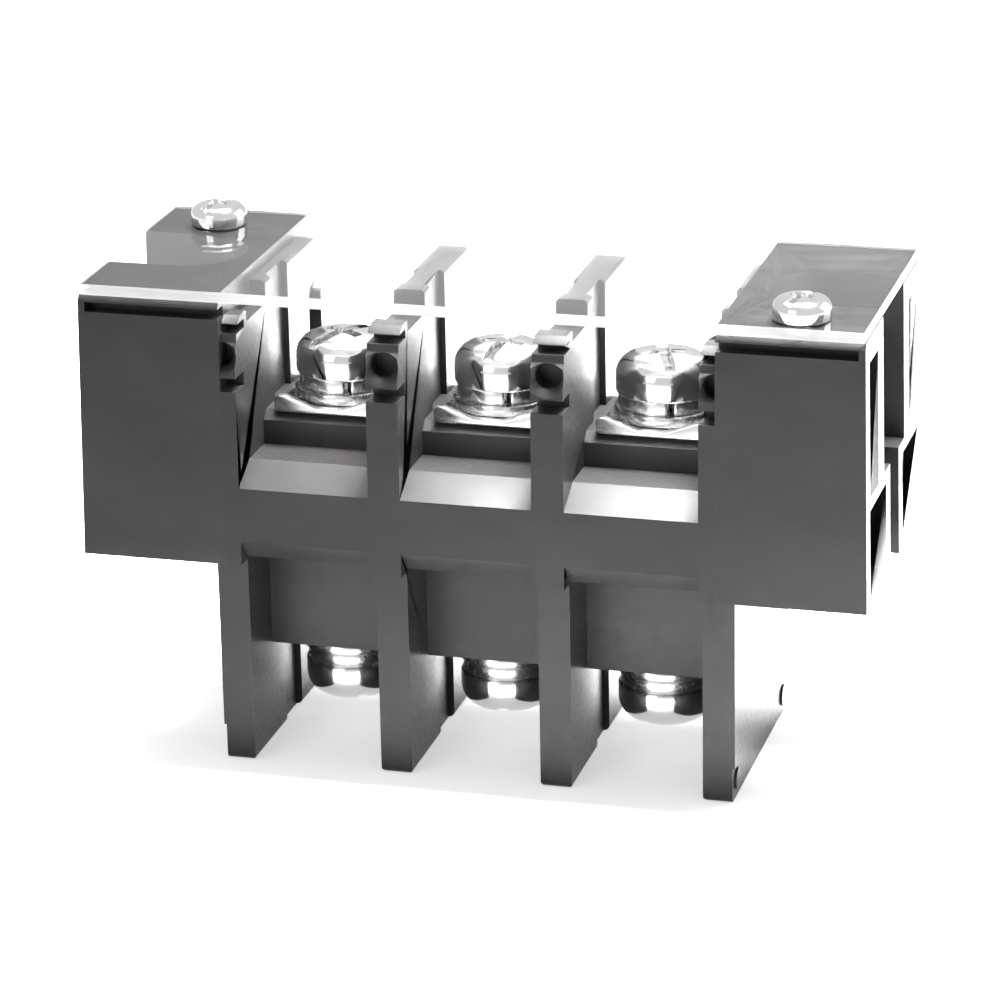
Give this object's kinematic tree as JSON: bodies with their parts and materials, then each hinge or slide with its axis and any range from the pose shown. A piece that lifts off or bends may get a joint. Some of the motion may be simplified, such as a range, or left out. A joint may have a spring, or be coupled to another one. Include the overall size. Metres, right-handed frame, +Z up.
{
  "type": "feed-through barrier terminal strip",
  "caption": "Panel feed-through barrier terminal strip: a dark moulded housing with screw terminals above and below, slotted end blocks and a flat clear cover.",
  "frame": {"origin": "the middle of the strip at the level of the lower barriers' tips; the panel is 26.4 mm above it", "axes": "+X along the strip, from the first pole to the last, +Y to the back, +Z up through the cover"},
  "size_m": [0.0962, 0.0362, 0.0632],
  "materials": {
    "moulded_housing": "satin",
    "clear_cover": "gloss",
    "plated_screw": "polished",
    "washer_steel": "plated",
    "tinned_conductor": "tinned"
  },
  "bodies": {
    "housing": {"housing": "moulded_housing", "conductor_1": "tinned_conductor", "conductor_2": "tinned_conductor", "conductor_3": "tinned_conductor", "tail_plate_1": "tinned_conductor", "tail_plate_2": "tinned_conductor", "tail_plate_3": "tinned_conductor"},
    "cover": {"cover": "clear_cover"},
    "cover_screw_left": {"cover_screw_left": "plated_screw"},
    "cover_screw_right": {"cover_screw_right": "plated_screw"},
    "wire_washers_1": {"wire_washer_1": "washer_steel", "wire_spring_washer_1": "washer_steel"},
    "wire_screw_1": {"wire_screw_1": "plated_screw"},
    "tail_washers_1": {"tail_washer_1": "washer_steel", "tail_spring_washer_1": "washer_steel"},
    "tail_screw_1": {"tail_screw_1": "plated_screw"},
    "wire_washers_2": {"wire_washer_2": "washer_steel", "wire_spring_washer_2": "washer_steel"},
    "wire_screw_2": {"wire_screw_2": "plated_screw"},
    "tail_washers_2": {"tail_washer_2": "washer_steel", "tail_spring_washer_2": "washer_steel"},
    "tail_screw_2": {"tail_screw_2": "plated_screw"},
    "wire_washers_3": {"wire_washer_3": "washer_steel", "wire_spring_washer_3": "washer_steel"},
    "wire_screw_3": {"wire_screw_3": "plated_screw"},
    "tail_washers_3": {"tail_washer_3": "washer_steel", "tail_spring_washer_3": "washer_steel"},
    "tail_screw_3": {"tail_screw_3": "plated_screw"}
  },
  "joints": [
    {"name": "cover_lift", "type": "slide", "parent": "housing", "child": "cover", "axis": [0, 0, 1], "range_m": [0, 0.012]},
    {"name": "cover_screw_left_turn", "type": "hinge", "parent": "cover", "child": "cover_screw_left", "pos_m": [-0.03925, 0.01088, 0.0603], "axis": [0, 0, 1], "continuous": true},
    {"name": "cover_screw_right_turn", "type": "hinge", "parent": "cover", "child": "cover_screw_right", "pos_m": [0.03925, -0.01318, 0.0603], "axis": [0, 0, 1], "continuous": true},
    {"name": "wire_washers_1_lift", "type": "slide", "parent": "housing", "child": "wire_washers_1", "axis": [0, 0, 1], "range_m": [0, 0.004]},
    {"name": "wire_screw_1_turn", "type": "hinge", "parent": "wire_washers_1", "child": "wire_screw_1", "pos_m": [-0.02, 0, 0.0462], "axis": [0, 0, 1], "range_deg": [0, 1442]},
    {"name": "tail_washers_1_lift", "type": "slide", "parent": "housing", "child": "tail_washers_1", "axis": [0, 0, -1], "range_m": [0, 0.003]},
    {"name": "tail_screw_1_turn", "type": "hinge", "parent": "tail_washers_1", "child": "tail_screw_1", "pos_m": [-0.02, 0, 0.0089], "axis": [0, 0, -1], "range_deg": [0, 1082]},
    {"name": "wire_washers_2_lift", "type": "slide", "parent": "housing", "child": "wire_washers_2", "axis": [0, 0, 1], "range_m": [0, 0.004]},
    {"name": "wire_screw_2_turn", "type": "hinge", "parent": "wire_washers_2", "child": "wire_screw_2", "pos_m": [0, 0, 0.0462], "axis": [0, 0, 1], "range_deg": [0, 1442]},
    {"name": "tail_washers_2_lift", "type": "slide", "parent": "housing", "child": "tail_washers_2", "axis": [0, 0, -1], "range_m": [0, 0.003]},
    {"name": "tail_screw_2_turn", "type": "hinge", "parent": "tail_washers_2", "child": "tail_screw_2", "pos_m": [0, 0, 0.0089], "axis": [0, 0, -1], "range_deg": [0, 1082]},
    {"name": "wire_washers_3_lift", "type": "slide", "parent": "housing", "child": "wire_washers_3", "axis": [0, 0, 1], "range_m": [0, 0.004]},
    {"name": "wire_screw_3_turn", "type": "hinge", "parent": "wire_washers_3", "child": "wire_screw_3", "pos_m": [0.02, 0, 0.0462], "axis": [0, 0, 1], "range_deg": [0, 1442]},
    {"name": "tail_washers_3_lift", "type": "slide", "parent": "housing", "child": "tail_washers_3", "axis": [0, 0, -1], "range_m": [0, 0.003]},
    {"name": "tail_screw_3_turn", "type": "hinge", "parent": "tail_washers_3", "child": "tail_screw_3", "pos_m": [0.02, 0, 0.0089], "axis": [0, 0, -1], "range_deg": [0, 1082]}
  ],
  "couplings": [
    {"joint": "wire_screw_1_turn", "follows": "wire_washers_1_lift", "rad_per_m": 6283.2},
    {"joint": "tail_screw_1_turn", "follows": "tail_washers_1_lift", "rad_per_m": 6283.2},
    {"joint": "wire_screw_2_turn", "follows": "wire_washers_2_lift", "rad_per_m": 6283.2},
    {"joint": "tail_screw_2_turn", "follows": "tail_washers_2_lift", "rad_per_m": 6283.2},
    {"joint": "wire_screw_3_turn", "follows": "wire_washers_3_lift", "rad_per_m": 6283.2},
    {"joint": "tail_screw_3_turn", "follows": "tail_washers_3_lift", "rad_per_m": 6283.2}
  ]
}
